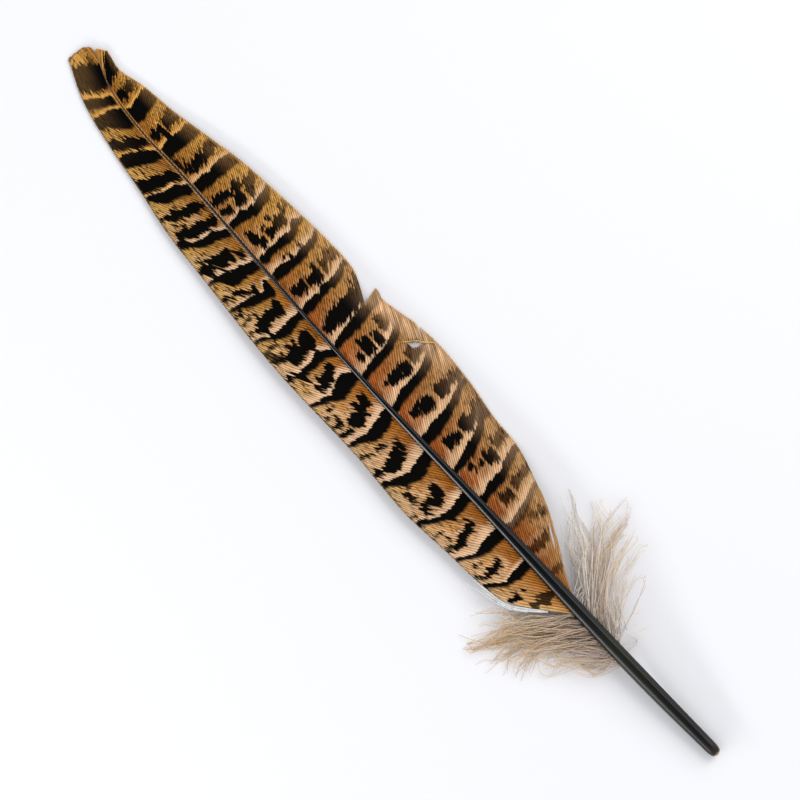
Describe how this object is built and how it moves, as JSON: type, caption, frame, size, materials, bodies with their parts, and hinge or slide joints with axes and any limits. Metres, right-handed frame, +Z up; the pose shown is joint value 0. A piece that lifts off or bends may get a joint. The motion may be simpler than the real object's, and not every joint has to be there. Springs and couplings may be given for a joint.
{
  "type": "pheasant tail feather",
  "caption": "Barred tail feather of a hen pheasant, lying down: a dark tapering shaft, a vane on each side of it with one torn, and tufts of down at the foot of the vanes.",
  "frame": {"origin": "on the surface the feather lies on, under the middle of its bounding box", "axes": "+Y along the feather from the quill's end to the tip, +Z up out of the surface, +X to the feather's right, where its wider vane is"},
  "size_m": [0.0576, 0.2314, 0.0068],
  "materials": {
    "shaft_horn": "glossy black horn with fine scratches",
    "left_barbs": "satin barbs, buff and ochre with black bars",
    "right_barbs": "satin barbs, rust and buff with black bars",
    "down": "soft grey-beige down"
  },
  "bodies": {
    "root": {"shaft": "shaft_horn", "left_vane": "left_barbs", "right_vane": "right_barbs", "left_down": "down", "right_down": "down"}
  },
  "joints": []
}
